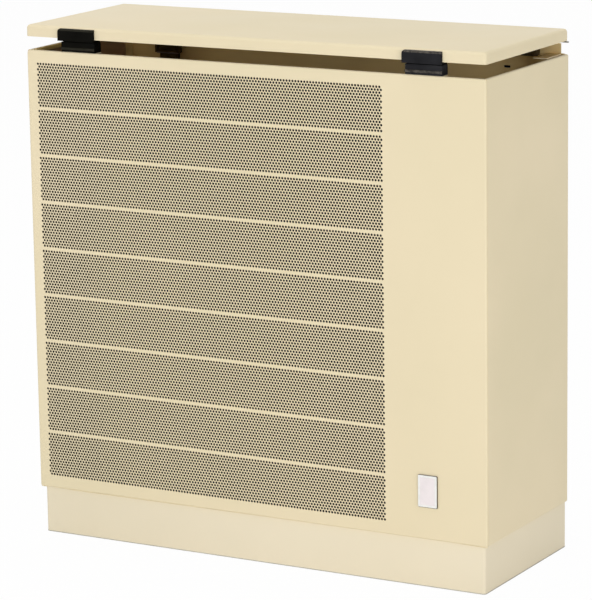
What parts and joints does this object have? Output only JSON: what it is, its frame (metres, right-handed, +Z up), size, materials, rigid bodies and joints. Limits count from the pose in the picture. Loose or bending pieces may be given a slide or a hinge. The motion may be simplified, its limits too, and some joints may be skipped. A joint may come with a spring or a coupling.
{
  "type": "gas convector heater",
  "caption": "Wall-standing gas convector heater in sheet steel, with a finely perforated front, a plinth and a hinged lid over the controls.",
  "frame": {"origin": "floor level, under the middle of the whole heater with its wall rails", "axes": "+Z up, +Y from the perforated front towards the wall, +X towards the controls' side (the viewer's right when facing the front)"},
  "size_m": [0.636, 0.245, 0.6486],
  "materials": {
    "cream_enamel": "semi-gloss stove enamel",
    "plinth_enamel": "semi-gloss stove enamel",
    "dark_enamel": "matt heat-resisting enamel",
    "black_plastic": "satin moulding",
    "white_plastic": "smooth",
    "zinc_steel": "zinc plated",
    "bright_steel": "plain",
    "cast_alloy": "as cast",
    "brass": "machined",
    "copper": "drawn copper",
    "lead_sleeve": "woven heat-proof sleeve",
    "clear_glass": "clear",
    "ceramic": "glazed ceramic"
  },
  "bodies": {
    "cabinet": {"plinth": "plinth_enamel", "front_panel": "cream_enamel", "back_plate": "cream_enamel", "casing_screw_1": "zinc_steel", "casing_screw_2": "zinc_steel", "casing_screw_3": "zinc_steel", "casing_screw_4": "zinc_steel", "side_panel_left": "cream_enamel", "side_panel_right": "cream_enamel", "corner_gusset_left": "cream_enamel", "corner_gusset_right": "cream_enamel", "hinge_block_left": "black_plastic", "hinge_block_right": "black_plastic", "lid_rest_left": "black_plastic", "lid_rest_right": "black_plastic", "hinge_rod": "zinc_steel", "badge_plate": "white_plastic", "hanger_block": "black_plastic", "wall_rail_upper": "zinc_steel", "wall_rail_lower": "zinc_steel", "partition_plate": "zinc_steel", "control_shelf": "cream_enamel", "combustion_chamber": "dark_enamel", "heat_exchanger": "dark_enamel", "exchanger_bracket_upper": "zinc_steel", "exchanger_bracket_lower": "zinc_steel", "window_frame": "dark_enamel", "window_glass": "clear_glass", "burner_tube": "bright_steel", "burner_cradle_left": "zinc_steel", "burner_cradle_right": "zinc_steel", "injector_holder": "brass", "manifold_pipe": "copper", "pilot_bracket": "zinc_steel", "pilot_burner": "brass", "thermocouple": "bright_steel", "spark_electrode": "ceramic", "gas_valve_body": "cast_alloy", "valve_bracket": "zinc_steel", "valve_bonnet": "brass", "piezo_body": "black_plastic", "ignition_lead": "lead_sleeve", "thermocouple_lead": "lead_sleeve", "gas_cock_body": "brass", "cock_bracket": "zinc_steel", "riser_pipe": "copper", "inlet_pipe": "brass", "sensor_bulb": "copper", "bulb_clip": "zinc_steel", "capillary_tube": "copper", "flue_spigot": "bright_steel", "air_spigot": "zinc_steel"},
    "lid": {"lid": "cream_enamel", "lid_liner": "cream_enamel", "lid_hinge_leaf_left": "zinc_steel", "lid_hinge_leaf_right": "zinc_steel"},
    "valve_stem": {"valve_spindle": "zinc_steel"},
    "thermostat_dial": {"thermostat_knob": "black_plastic"},
    "igniter_button": {"piezo_button": "white_plastic"},
    "cock_handle": {"cock_lever": "zinc_steel"}
  },
  "joints": [
    {"name": "lid_hinge", "type": "hinge", "parent": "cabinet", "child": "lid", "pos_m": [0, 0.102, 0.6329], "axis": [-1, 0, 0], "range_deg": [0, 65]},
    {"name": "stem_press", "type": "slide", "parent": "cabinet", "child": "valve_stem", "axis": [0, 0, -1], "range_m": [0, 0.005], "stiffness_N_per_m": 300, "springref_m": -0.01},
    {"name": "thermostat_turn", "type": "hinge", "parent": "valve_stem", "child": "thermostat_dial", "pos_m": [0.2522, 0.0128, 0.5624], "axis": [0, 0, 1], "range_deg": [0, 270]},
    {"name": "button_press", "type": "slide", "parent": "cabinet", "child": "igniter_button", "axis": [0, 0, -1], "range_m": [0, 0.005], "stiffness_N_per_m": 400, "springref_m": -0.004},
    {"name": "cock_turn", "type": "hinge", "parent": "cabinet", "child": "cock_handle", "pos_m": [0.2522, -0.0062, 0.109], "axis": [0, 1, 0], "range_deg": [0, 90]}
  ]
}
